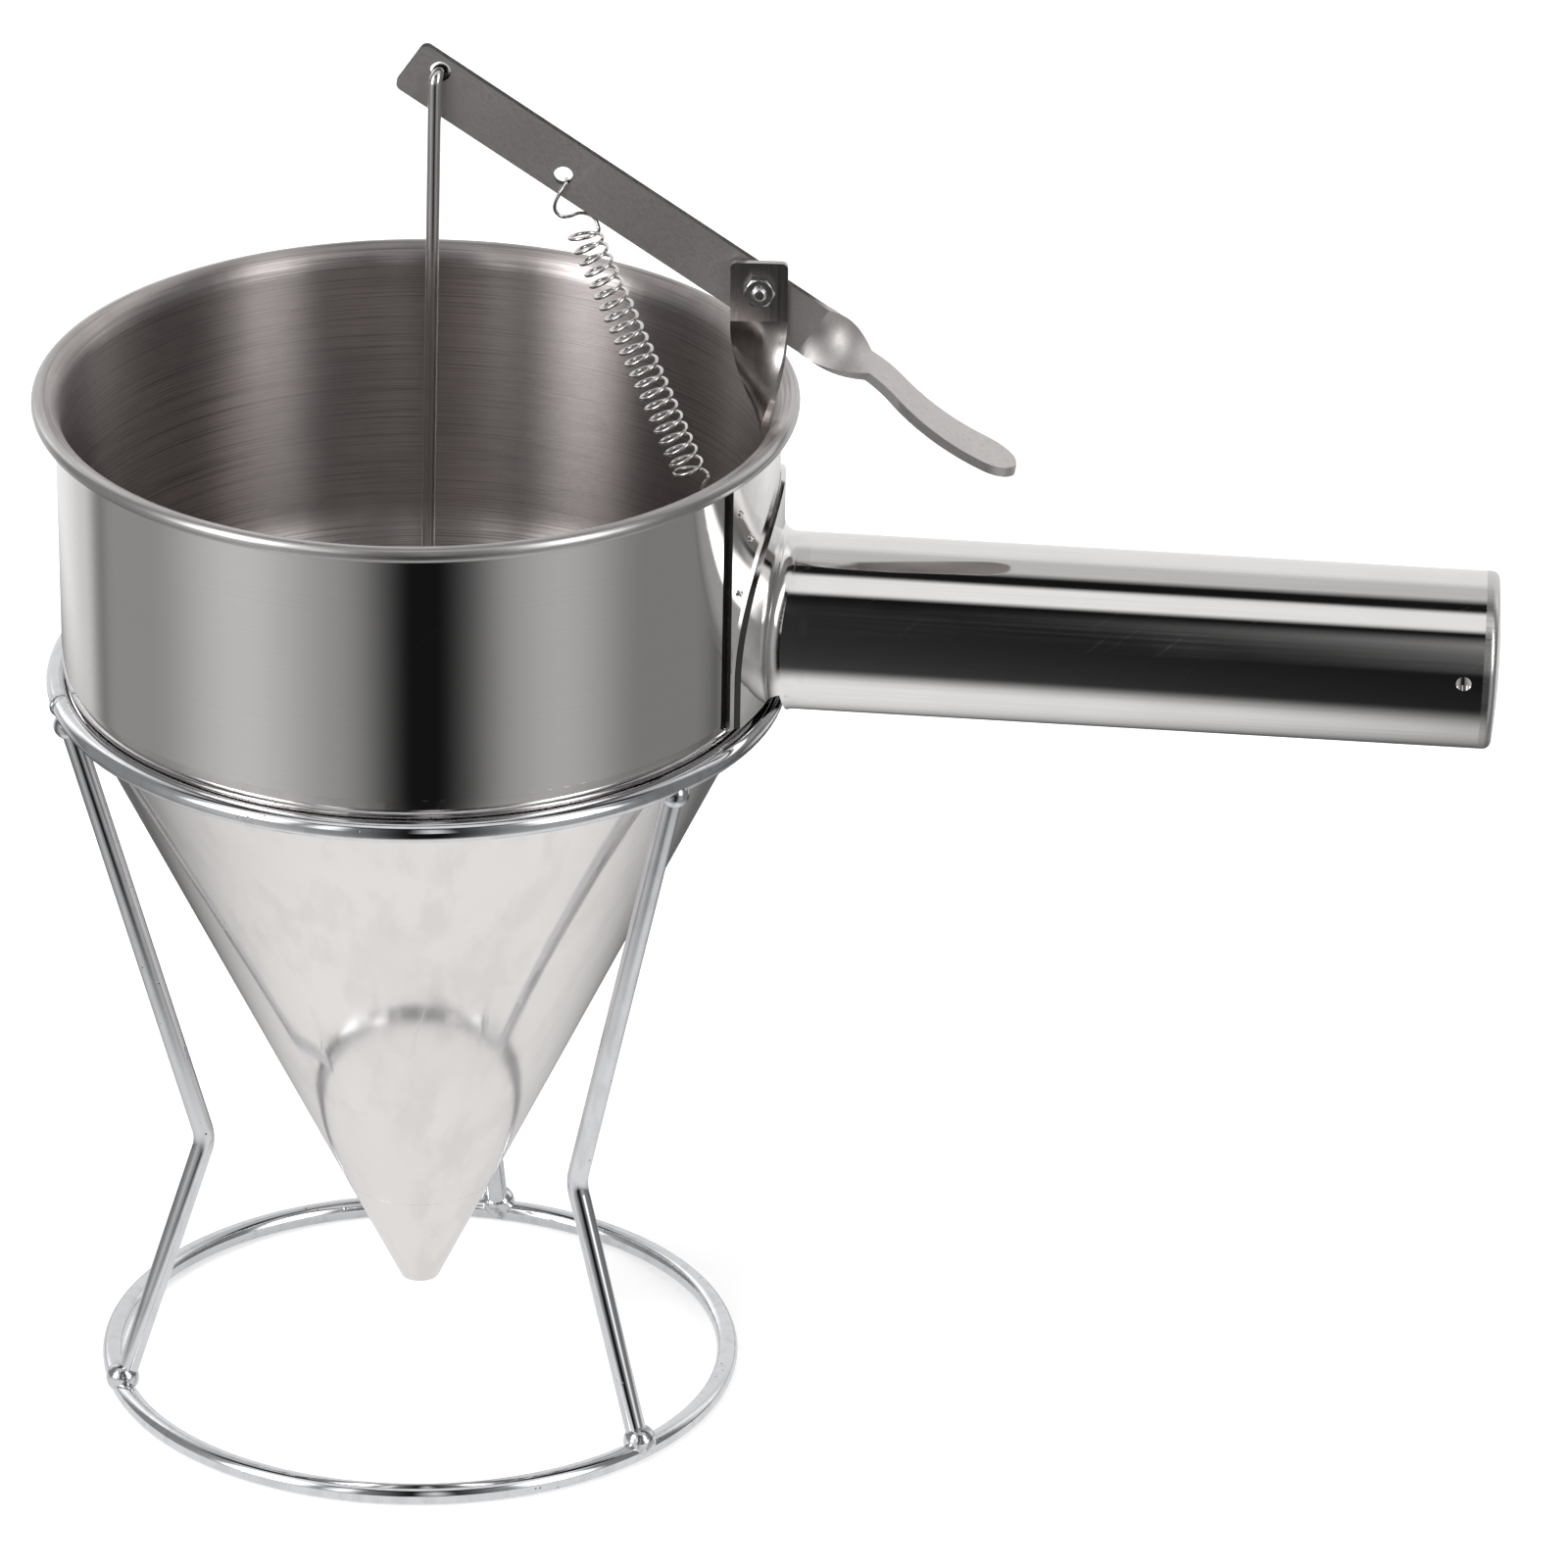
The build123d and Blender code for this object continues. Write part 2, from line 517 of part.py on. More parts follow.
# The plug is centred on the cone when it is seated. From there the lever turns up by CLOSING_TURN and
# the rod swings by rod_swing, which brings the plug back to the axis.
hook_closed = pivot + turned_about_y(hook - pivot, -CLOSING_TURN)
plug_foot_z = OUTLET_Z + PLUG_SEAT_RISE
seat_point = Vector(0, bar_y, plug_foot_z + PLUG_HEIGHT)
to_seat = seat_point - hook_closed
rod_swing = degrees(asin((hook.X - hook_closed.X) / hypot(to_seat.X, to_seat.Z)))
plug_top = hook + turned_about_y(to_seat, rod_swing)
plug_top = Vector(plug_top.X, 0, plug_top.Z)


def rod_line():
    """Top and foot of the straight wire, which hangs from the side of the hook."""
    side = hook_r * sin(radians(HOOK_SKEW))
    fall = hook.Z - plug_top.Z
    lean = degrees(atan2(hook.X - side - plug_top.X, fall))
    return side, lean


def plunger_rod():
    """The wire: a tail behind the lever, a hook through its hole, and the long straight rod."""
    side, lean = rod_line()
    along = Vector(sin(radians(HOOK_SKEW)), cos(radians(HOOK_SKEW)), 0)
    # The wire's middle in the hole is midway between its highest and lowest points there.
    half = BAR_T / 2 / cos(radians(HOOK_SKEW))
    high = hook_r + ROD_R
    low = sqrt((hook_r - ROD_R) ** 2 - half ** 2)
    spring_z = -(high + low) / 2 - HOOK_DROP
    near = along * -hook_r + Vector(0, 0, spring_z)
    far = along * hook_r + Vector(0, 0, spring_z)
    length = (hook - plug_top).Z / cos(radians(lean)) + spring_z + PLUG_BORE_DEPTH
    tail = Line(far - Vector(0, 0, HOOK_TAIL), far)
    bend = ThreePointArc(far, Vector(0, 0, spring_z + hook_r), near)
    straight = Line(near, near - Vector(0, 0, length))
    section = Plane(far - Vector(0, 0, HOOK_TAIL), z_dir=(0, 0, 1)) * Circle(ROD_R)
    rod = sweep(section, Curve() + [tail, bend, straight])
    return Pos(hook) * Rot(0, lean, 0) * rod


def plug():
    """A cone that closes the outlet, with a collar for the rod."""
    foot_r = cone_inner(plug_foot_z) - PLUG_CLEARANCE / cos(radians(cone_angle))
    top_r = foot_r + PLUG_HEIGHT * cone_slope
    corners = [(0, -PLUG_HEIGHT), (foot_r, -PLUG_HEIGHT), (top_r, 0), (PLUG_COLLAR_R, 0)]
    corners += [(PLUG_COLLAR_R, PLUG_COLLAR_H), (0, PLUG_COLLAR_H)]
    body = turned([Polyline(*corners, close=True)])
    rims = body.edges().filter_by(GeomType.CIRCLE).filter_by_position(Axis.Z, 0, PLUG_COLLAR_H)
    body = fillet(rims, PLUG_EDGE)
    return Pos(plug_top) * Rot(0, rod_swing, 0) * body


# ---------------------------------------------------------------- spring
spring_top = on_lever(SPRING_HOLE_U, SPRING_HOLE_V)
spring_foot = Vector(ear_end_x + EAR_HOLE_BACK, 0, ear_z)
spring_dir = (spring_foot - spring_top).normalized()
spring_side = Vector(0, 1, 0).cross(spring_dir).normalized()


def beside_spring(along, side, y=0.0):
    """A point by its distances from the lever's hole along the spring and beside its axis."""
    return spring_top + spring_dir * along + spring_side * side + Vector(0, y, 0)


def spring_wire(points, bends):
    """The spring's wire through points, with a bend radius for each corner."""
    path = FilletPolyline(*points, radius=bends)
    section = Plane(path @ 0, z_dir=path % 0) * Circle(SPRING_WIRE / 2)
    return sweep(section, path)


def spring_neck(coil_r):
    """From a hook through the lever, out and back across the axis, to the first coil's side."""
    past = BAR_T / 2 + SPRING_WIRE
    first = SPRING_NECK + SPRING_WIRE
    points = [
        beside_spring(SPRING_END, 0, past),
        beside_spring(0, 0, past),
        beside_spring(0, 0, -past),
        beside_spring(NECK_BOW_AT / 2, NECK_BOW / 2, -past),
        beside_spring(NECK_BOW_AT + NECK_BEND_R, NECK_BOW),
        beside_spring(NECK_BACK_AT, NECK_BOW / 2),
        beside_spring(NECK_BACK_AT, -NECK_BOW / 3),
        beside_spring(first - NECK_BEND_R, SPRING_ASIDE - coil_r),
        beside_spring(first, SPRING_ASIDE - coil_r),
    ]
    gentle = NECK_BEND_R / 2
    return spring_wire(points, [SPRING_BEND_R, SPRING_BEND_R, gentle, NECK_BEND_R, gentle, gentle, gentle])


def spring_tail(coil_r, last):
    """From the last coil's side back to the axis and under the ear."""
    under_ear = spring_foot + spring_dir * (STRAP_T / 2 + SPRING_WIRE)
    points = [
        beside_spring(last - SPRING_WIRE, SPRING_ASIDE - coil_r),
        beside_spring(last + TAIL_STRAIGHT, SPRING_ASIDE - coil_r),
        beside_spring(last + TAIL_BACK_AT, 0),
        under_ear,
        under_ear - Vector(SPRING_END, 0, 0),
    ]
    return spring_wire(points, [SPRING_BEND_R, SPRING_BEND_R, SPRING_BEND_R])


def return_spring():
    """The extension spring: the sleeve of its coils, with a bent neck above and a hook below."""
    wall = SPRING_WIRE + 2 * SPRING_SINK
    coil_r = SPRING_R - wall / 2
    length = (spring_foot - spring_top).length - SPRING_NECK - SPRING_TAIL
    coil_plane = Plane(beside_spring(SPRING_NECK, SPRING_ASIDE), z_dir=spring_dir)
    coils = extrude(coil_plane * (Circle(SPRING_R) - Circle(SPRING_R - wall)), length)
    return coils + spring_neck(coil_r) + spring_tail(coil_r, SPRING_NECK + length)


# ---------------------------------------------------------------- build
nodes = {"stand_base_ring": ring(BASE_RING_R, wire_r), "stand_seat_ring": ring(seat_ring_r, seat_z)}
one_leg = leg()
ends = leg_points()
top_weld = weld(ends[0], ends[1], TOP_WELD_R, nodes["stand_seat_ring"], one_leg)
foot_weld = weld(ends[2], ends[1], FOOT_WELD_R, nodes["stand_base_ring"], one_leg)
for number in range(LEG_COUNT):
    place = Rot(0, 0, FIRST_LEG_ANGLE + 360 / LEG_COUNT * number)
    nodes[f"stand_leg_{number + 1}"] = place * one_leg
    nodes[f"stand_weld_top_{number + 1}"] = place * top_weld
    nodes[f"stand_weld_foot_{number + 1}"] = place * foot_weld

nodes["hopper_band"] = hopper_band()
nodes["hopper_cone"] = hopper_cone()
nodes["hopper_spout"] = hopper_spout()
nodes["handle_saddle"] = handle_saddle()
nodes["handle_flange"] = handle_flange()
nodes["handle_tube"] = handle_tube()
nodes["handle_end_cap"] = handle_end_cap()
nodes["pivot_bracket"] = pivot_bracket()
nodes["pivot_spacer"] = pivot_spacer()
nodes["pivot_bolt"] = pivot_bolt()
nodes["pivot_nut"] = pivot_nut()
nodes["lever"] = lever()
nodes["plunger_rod"] = plunger_rod()
nodes["plug"] = plug() - nodes["plunger_rod"]
nodes["return_spring"] = return_spring()

os.makedirs("parts", exist_ok=True)
for name, shape in nodes.items():
    shape.label = name
    export_step(shape, f"parts/{name}.step")
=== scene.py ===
from math import cos, pi, radians, sin

import bpy
from mathutils import Matrix, Vector


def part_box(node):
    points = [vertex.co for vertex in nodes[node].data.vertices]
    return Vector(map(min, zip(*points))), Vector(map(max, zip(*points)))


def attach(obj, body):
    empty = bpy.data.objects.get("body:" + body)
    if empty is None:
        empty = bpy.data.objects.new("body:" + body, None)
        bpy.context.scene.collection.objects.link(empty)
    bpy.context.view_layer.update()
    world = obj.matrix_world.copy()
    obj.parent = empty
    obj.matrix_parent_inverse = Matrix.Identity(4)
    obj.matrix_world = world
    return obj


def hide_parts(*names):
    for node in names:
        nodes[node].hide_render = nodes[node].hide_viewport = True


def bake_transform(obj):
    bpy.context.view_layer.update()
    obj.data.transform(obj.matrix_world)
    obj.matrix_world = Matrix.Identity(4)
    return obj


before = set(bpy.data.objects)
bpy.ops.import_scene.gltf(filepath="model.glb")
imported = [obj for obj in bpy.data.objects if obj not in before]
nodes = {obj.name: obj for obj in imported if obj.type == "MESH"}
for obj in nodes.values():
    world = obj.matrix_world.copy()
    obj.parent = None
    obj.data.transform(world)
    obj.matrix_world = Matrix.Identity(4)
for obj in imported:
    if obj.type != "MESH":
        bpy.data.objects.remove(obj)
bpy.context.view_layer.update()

# ---------------------------------------------------------------- camera
# A long lens, far off and above, that looks down on the dispenser from in front. The handle points to
# the right.
MM = 0.001
CAMERA_TURN = radians(2.5)
CAMERA_RISE = radians(25.74)
CAMERA_ROLL = radians(0.463)
CAMERA_AWAY = 2700.8 * MM
AIM_OUT = 72.41 * MM
AIM_UP = 128.68 * MM
LENS = 313.7
SENSOR_WIDTH = 36
FARTHEST_SEEN = 60

to_right = Vector((cos(CAMERA_TURN), sin(CAMERA_TURN), 0))
to_eye = Vector((sin(CAMERA_TURN) * cos(CAMERA_RISE), -cos(CAMERA_TURN) * cos(CAMERA_RISE), sin(CAMERA_RISE)))
to_top = to_eye.cross(to_right)
rolled_right = to_right * cos(CAMERA_ROLL) + to_top * sin(CAMERA_ROLL)
rolled_top = to_top * cos(CAMERA_ROLL) - to_right * sin(CAMERA_ROLL)
aim = to_right * AIM_OUT + Vector((0, 0, AIM_UP))
camera_data = bpy.data.cameras.new("camera")
camera_data.lens = LENS
camera_data.sensor_width = SENSOR_WIDTH
camera_data.clip_end = FARTHEST_SEEN
camera = bpy.data.objects.new("camera", camera_data)
scene = bpy.context.scene
scene.collection.objects.link(camera)
facing = Matrix((rolled_right, rolled_top, to_eye)).transposed().to_4x4()
camera.matrix_world = Matrix.Translation(aim + to_eye * CAMERA_AWAY) @ facing
scene.camera = camera

# ---------------------------------------------------------------- studio
# A plain room as polished steel mirrors it: soft wall panels with dark gaps between them, bright strips
# above the table's height, a soft ceiling, and a table under one overhead lamp.

# Each panel is its centre, half width and soft edge in degrees, and its brightness. Centres go round
# from the camera's side, with the handle's side positive.
WALL_PANELS = ((-66, 56, 26, 0.30), (-54.5, 19, 38, 0.29), (71, 48, 26, 0.22), (51.5, 16, 32, 0.24),
               (180, 56, 14, 0.55), (180, 44, 34, 0.35))
# The brushed inside of the hopper draws these out into upright bands.
STRIPS = ((-53, 10, 22, 6.5), (54, 9, 20, 4.6), (-24, 4, 9, 1.3), (9, 4, 9, 0.8), (-133, 10, 20, 0.8),
          (122, 10, 18, 0.8))
# Centres go up from the camera's side and over to the back.
CEILING_PANELS = ((73, 13, 8, 0.95), (142, 38, 12, 0.60))
# Heights on the unit sphere where the strips and the ceiling come in.
STRIPS_START = (0.03, 0.16)
CEILING_START = (0.62, 0.82)
GAP_LEVEL = 0.008

# The eye sees a white table without an end. The steel sees a painted copy of it: a darker cloth with a
# painted pool of light on it, a glow that is bright in front of the stand and fades away from it, and the
# copy ends a little way past the stand.
FLOOR_HALF = 8.0
WHITE_CLOTH = (0.8, 0.8, 0.8, 1)
SHADED_TABLE_COPY = (0.12, 0.12, 0.12, 1)
WHITE_GLOW = 0.44
GREY_GLOW = 0.79
GLOW_SQUEEZE = (0.72, 1, 0)
GLOW_SHIFT = (-0.012, 0.05, 0)
GLOW_FADE = (0.05, 0.24)
GREY_MIDDLE = (0.03, 0.13, 0)
GREY_FADE = (0.22, 0.36)

LAMP_SIZE = 1.4
LAMP_WATTS = 14
LAMP_PLACE = (-0.35, -0.3, 1.6)


def add(tree, kind, settings=None, **sockets):
    """A node with its settings; each socket takes a value or a link from another node's socket. A socket is
    given by its name with _ for each space, or by its number after an i."""
    made = tree.nodes.new(kind)
    for name, value in (settings or {}).items():
        setattr(made, name, value)
    for name, value in sockets.items():
        numbered = name[0] == "i" and name[1:].isdigit()
        socket = made.inputs[int(name[1:])] if numbered else made.inputs[name.replace("_", " ")]
        if isinstance(value, bpy.types.NodeSocket):
            tree.links.new(value, socket)
        else:
            socket.default_value = value
    return made


def maths(tree, operation, a, b=0.0):
    return add(tree, "ShaderNodeMath", {"operation": operation}, i0=a, i1=b).outputs[0]


def mixed(tree, kind, share, first, second):
    """A blend of two values; kind is FLOAT or RGBA."""
    slots = {"FLOAT": ("i2", "i3"), "RGBA": ("i6", "i7")}[kind]
    made = add(tree, "ShaderNodeMix", {"data_type": kind}, i0=share, **dict(zip(slots, (first, second))))
    return made.outputs[2 if kind == "RGBA" else 0]


def soft_step(tree, value, start, end, low=0.0, high=1.0):
    """From low to high as value goes from start to end, without a hard edge."""
    return add(tree, "ShaderNodeMapRange", {"interpolation_type": "SMOOTHSTEP"}, Value=value,
               From_Min=start, From_Max=end, To_Min=low, To_Max=high).outputs[0]


def glow_of_panels(tree, angle, panels):
    """The sum of soft panels at an angle in degrees."""
    total = 0.0
    for centre, half, edge, level in panels:
        aside = maths(tree, "PINGPONG", maths(tree, "SUBTRACT", angle, centre), 180.0)
        panel = soft_step(tree, aside, half - edge / 2, half + edge / 2, level, 0.0)
        total = maths(tree, "ADD", panel, total)
    return total


scene.view_settings.view_transform = "Standard"
world = bpy.data.worlds.new("studio")
scene.world = world
world.use_nodes = True
tree = world.node_tree
tree.nodes.clear()
look = add(tree, "ShaderNodeSeparateXYZ", i0=add(tree, "ShaderNodeTexCoord").outputs["Generated"])
towards = maths(tree, "MULTIPLY", look.outputs[1], -1.0)
around = maths(tree, "DEGREES", maths(tree, "ARCTAN2", look.outputs[0], towards))
overhead = maths(tree, "DEGREES", maths(tree, "ARCTAN2", look.outputs[2], towards))
strips = glow_of_panels(tree, around, STRIPS)
strips = maths(tree, "MULTIPLY", strips, soft_step(tree, look.outputs[2], *STRIPS_START))
walls = maths(tree, "ADD", glow_of_panels(tree, around, WALL_PANELS), strips)
ceiling = glow_of_panels(tree, overhead, CEILING_PANELS)
room = mixed(tree, "FLOAT", soft_step(tree, look.outputs[2], *CEILING_START), walls, ceiling)
room = maths(tree, "ADD", room, GAP_LEVEL)
by_eye = add(tree, "ShaderNodeLightPath").outputs["Is Camera Ray"]
seen = mixed(tree, "RGBA", by_eye, room, (1, 1, 1, 1))
background = add(tree, "ShaderNodeBackground", Color=seen, Strength=1.0)
add(tree, "ShaderNodeOutputWorld", Surface=background.outputs[0])

corners = [(x * FLOOR_HALF, y * FLOOR_HALF, 0) for x, y in ((-1, -1), (1, -1), (1, 1), (-1, 1))]
floor_mesh = bpy.data.meshes.new("table_top")
floor_mesh.from_pydata(corners, [], [(0, 1, 2, 3)])
floor = bpy.data.objects.new("table_top", floor_mesh)
scene.collection.objects.link(floor)
table = bpy.data.materials.new("white_table")
table.use_nodes = True
floor_mesh.materials.append(table)
tree = table.node_tree
tree.nodes.clear()
by_eye = add(tree, "ShaderNodeLightPath").outputs["Is Camera Ray"]
by_steel = maths(tree, "SUBTRACT", 1.0, by_eye)
place = add(tree, "ShaderNodeTexCoord").outputs["Object"]
# Painted shade: rays off the steel see the table's cloth in a darker grey copy.
matt = add(tree, "ShaderNodeBsdfDiffuse", Color=mixed(tree, "RGBA", by_eye, SHADED_TABLE_COPY, WHITE_CLOTH))
squeezed = add(tree, "ShaderNodeVectorMath", {"operation": "MULTIPLY_ADD"}, i0=place, i1=GLOW_SQUEEZE,
               i2=GLOW_SHIFT).outputs[0]
from_glow = add(tree, "ShaderNodeVectorMath", {"operation": "LENGTH"}, i0=squeezed).outputs["Value"]
# Painted pool of light: the glow that the steel sees on the table, fading away from the stand.
painted_table_glow = soft_step(tree, from_glow, *GLOW_FADE, GREY_GLOW, 0.0)
glow = add(tree, "ShaderNodeEmission", Color=(1, 1, 1, 1),
           Strength=mixed(tree, "FLOAT", by_eye, painted_table_glow, WHITE_GLOW))
top = add(tree, "ShaderNodeAddShader", i0=matt.outputs[0], i1=glow.outputs[0])
from_middle = add(tree, "ShaderNodeVectorMath", {"operation": "DISTANCE"}, i0=place, i1=GREY_MIDDLE)
gone = maths(tree, "MULTIPLY", soft_step(tree, from_middle.outputs["Value"], *GREY_FADE), by_steel)
clear = add(tree, "ShaderNodeBsdfTransparent")
both = add(tree, "ShaderNodeMixShader", i0=gone, i1=top.outputs[0], i2=clear.outputs[0])
add(tree, "ShaderNodeOutputMaterial", Surface=both.outputs[0])

lamp_data = bpy.data.lights.new("overhead_softbox", "AREA")
lamp_data.size = LAMP_SIZE
lamp_data.energy = LAMP_WATTS
lamp = bpy.data.objects.new("overhead_softbox", lamp_data)
scene.collection.objects.link(lamp)
lamp.location = LAMP_PLACE
lamp.rotation_euler = Vector(LAMP_PLACE).to_track_quat("Z", "Y").to_euler()
lamp.visible_glossy = False

# ---------------------------------------------------------------- stand
# Bent steel wire: two rings with three cranked legs between them, welded at both ends and then
# bright chrome plated. The plating follows the wire's draw marks and has small pits.
CHROME = (0.70, 0.71, 0.73)
# Lengths in millimetres of what any steel surface shows: clouds, stray scratches, long waves in a
# sheet, and the patches that its pits come in.
CLOUD = (26, 26, 26)
SCRATCH = (34, 1.1, 34)
SCRATCH_TURN = (0.5, 0.3, 0.8)
WAVE = (42, 42, 42)
PIT_PATCH = (9, 9, 9)
PITS_PER_METRE = 520.0
PIT_COLOUR = (0.10, 0.09, 0.085, 1)


def new_paint(name):
    paint = bpy.data.materials.new(name)
    paint.use_nodes = True
    paint.node_tree.nodes.clear()
    return paint, paint.node_tree


def noise(tree, place, size, detail=2.0, turn=(0, 0, 0)):
    """Cloudy noise; size is how long its patches are in millimetres along x, y and z, turned by turn."""
    laid = add(tree, "ShaderNodeMapping", {"vector_type": "TEXTURE"}, Vector=place, Rotation=turn,
               Scale=[length * MM for length in size])
    return add(tree, "ShaderNodeTexNoise", Vector=laid.outputs[0], Scale=1.0, Detail=detail).outputs["Fac"]


def steel(tree, colour, rough, spread, grain, depth, turn=(0, 0, 0), stain=0.0, ripple=0.0, scratch=0.0,
          pits=0.0, stretch=0.0, across=None):
    """A steel surface of a roughness that varies by spread. grain is the length of the polishing marks in
    millimetres along x, y and z, turned by turn; depth is how deep they are in metres, ripple how deep the
    sheet's long waves are and pits how deep its small holes are. stain is the share by which clouds and
    marks are darker, scratch how much rougher stray scratches are, and stretch how far a reflection is
    drawn out along the direction across."""
    place = add(tree, "ShaderNodeTexCoord").outputs["Object"]
    marks = noise(tree, place, grain, 4.0, turn)
    clouds = noise(tree, place, CLOUD, 4.0)
    rub = soft_step(tree, noise(tree, place, SCRATCH, 2.0, SCRATCH_TURN), 0.63, 0.72)
    level = add(tree, "ShaderNodeMath", {"operation": "MULTIPLY_ADD"},
                i0=soft_step(tree, marks, 0.3, 0.7, -1.0, 1.0), i1=spread, i2=rough).outputs[0]
    level = maths(tree, "ADD", level, maths(tree, "MULTIPLY", rub, scratch))
    level = maths(tree, "ADD", level, soft_step(tree, clouds, 0.35, 0.7, 0.0, spread))
    clouded = tuple(part * (1 - stain) for part in colour)
    marked = tuple(part * (1 - stain * 1.6) for part in colour)
    tone = mixed(tree, "RGBA", soft_step(tree, clouds, 0.38, 0.72), (*colour, 1), (*clouded, 1))
    tone = mixed(tree, "RGBA", soft_step(tree, marks, 0.46, 0.66), tone, (*marked, 1))
    bump = add(tree, "ShaderNodeBump", Strength=1.0, Distance=depth, Height=marks)
    if ripple:
        waves = noise(tree, place, WAVE, 1.0)
        bump = add(tree, "ShaderNodeBump", Strength=1.0, Distance=ripple, Height=waves,
                   Normal=bump.outputs[0])
    if pits:
        cells = add(tree, "ShaderNodeTexVoronoi", Vector=place, Scale=PITS_PER_METRE, Randomness=1.0)
        near = soft_step(tree, cells.outputs["Distance"], 0.05, 0.16, 1.0, 0.0)
        holes = maths(tree, "MULTIPLY", near, soft_step(tree, noise(tree, place, PIT_PATCH), 0.52, 0.64))
        bump = add(tree, "ShaderNodeBump", {"invert": True}, Strength=1.0, Distance=pits, Height=holes,
                   Normal=bump.outputs[0])
        tone = mixed(tree, "RGBA", holes, tone, PIT_COLOUR)
    surface = add(tree, "ShaderNodeBsdfPrincipled", Base_Color=tone, Metallic=1.0, Roughness=level,
                  Normal=bump.outputs[0])
    if across:
        surface.inputs["Anisotropic"].default_value = stretch
        along = add(tree, "ShaderNodeCombineXYZ", X=across[0], Y=across[1], Z=across[2])
        tree.links.new(along.outputs[0], surface.inputs["Tangent"])
    return surface.outputs[0]


def steel_paint(name, colour, **finish):
    paint, tree = new_paint(name)
    add(tree, "ShaderNodeOutputMaterial", Surface=steel(tree, colour, **finish))
    return paint


def dress(piece, paint):
    """Gives a piece one paint, in place of what it came with."""
    piece.data.materials.clear()
    piece.data.materials.append(paint)


chrome = steel_paint("chrome_plating", CHROME, rough=0.025, spread=0.015, grain=(3, 3, 9), depth=2e-6,
                     stain=0.06, scratch=0.06, pits=3e-5)
weld_chrome = steel_paint("plated_weld", CHROME, rough=0.10, spread=0.04, grain=(1.6, 1.6, 1.6), depth=1.6e-4,
                          stain=0.3)
for name in nodes:
    if name.startswith("stand_weld"):
        dress(nodes[name], weld_chrome)
    elif name.startswith("stand_"):
        dress(nodes[name], chrome)

# ---------------------------------------------------------------- butt welds of the rings
# Where the two ends of each ring's wire meet, the upset left by the butt welder: a low swelling round
# the wire with a flash ridge in its middle, plated over with the rest.
WIRE_R = 2.1
WIRE_SIDES = 20
SEAT_RING_AT = 195.0
BASE_RING_AT = 78.0
# Millimetres along the wire from the joint, and the swelling's radius as a share of the wire's.
BEAD = ((-2.2, 0.92), (-1.6, 1.01), (-1.0, 1.03), (-0.6, 1.04), (-0.35, 1.06), (-0.15, 1.10), (0, 1.11),
        (0.15, 1.10), (0.35, 1.06), (0.6, 1.04), (1.0, 1.03), (1.6, 1.01), (2.2, 0.92))
# Shares of the swelling that go outwards and up: away from the hopper on the seat ring, and up from
# the ground face under the base ring.
SEAT_EASE = (0.91, -0.42)
BASE_EASE = (0.0, 1.0)


def plain_object(name, mesh):
    made = bpy.data.objects.new(name, mesh)
    scene.collection.objects.link(made)
    return made


def wire_line(name, points, shares):
    """A line through points in millimetres, with a share of the wire's radius at each."""
    curve = bpy.data.curves.new(name, "CURVE")
    curve.dimensions = "3D"
    line = curve.splines.new("POLY")
    line.points.add(len(points) - 1)
    for made, point, share in zip(line.points, points, shares):
        made.co = (*(Vector(point) * MM), 1)
        made.radius = share
    return plain_object(name, curve)


def nodes_tree(name, **inputs):
    """A geometry tree with a Geometry input, one number input for each name, and a Geometry output."""
    tree = bpy.data.node_groups.new(name, "GeometryNodeTree")
    tree.interface.new_socket("Geometry", in_out="INPUT", socket_type="NodeSocketGeometry")
    for label, kind in inputs.items():
        tree.interface.new_socket(label.replace("_", " "), in_out="INPUT", socket_type=kind)
    tree.interface.new_socket("Geometry", in_out="OUTPUT", socket_type="NodeSocketGeometry")
    return tree, tree.nodes.new("NodeGroupInput")


def finish_tree(tree, shape, paint):
    """Ends the tree: instances made real, smooth faces and the paint."""
    real = add(tree, "GeometryNodeRealizeInstances", i0=shape)
    smooth = add(tree, "GeometryNodeSetShadeSmooth", i0=real.outputs[0])
    painted = add(tree, "GeometryNodeSetMaterial", Geometry=smooth.outputs[0], Material=paint)
    add(tree, "NodeGroupOutput", i0=painted.outputs[0])


def grown(source, tree, paint, **values):
    """Runs the tree on the source and gives back a plain mesh object with its name."""
    modifier = source.modifiers.new("grow", "NODES")
    modifier.node_group = tree
    for item in tree.interface.items_tree:
        label = item.name.replace(" ", "_")
        if item.in_out == "INPUT" and label in values:
            modifier[item.identifier] = values[label]
    ready = source.evaluated_get(bpy.context.evaluated_depsgraph_get())
    mesh = bpy.data.meshes.new_from_object(ready)
    source.modifiers.remove(modifier)
    name = source.name
    bpy.data.objects.remove(source)
    mesh.name = name
    made = plain_object(name, mesh)
    dress(made, paint)
    return made


def wire_tree(name, paint):
    """Gives a line its round wire, with the line's own radius as a share of Wire Radius."""
    tree, given = nodes_tree(name, Wire_Radius="NodeSocketFloat", Sides="NodeSocketInt")
    section = add(tree, "GeometryNodeCurvePrimitiveCircle", {"mode": "RADIUS"},
                  Resolution=given.outputs["Sides"], Radius=given.outputs["Wire Radius"])
    share = add(tree, "GeometryNodeInputNamedAttribute", {"data_type": "FLOAT"}, Name="radius")
    wire = add(tree, "GeometryNodeCurveToMesh", Curve=given.outputs[0], Profile_Curve=section.outputs[0],
               Scale=share.outputs[0], Fill_Caps=True)
    finish_tree(tree, wire.outputs[0], paint)
    return tree


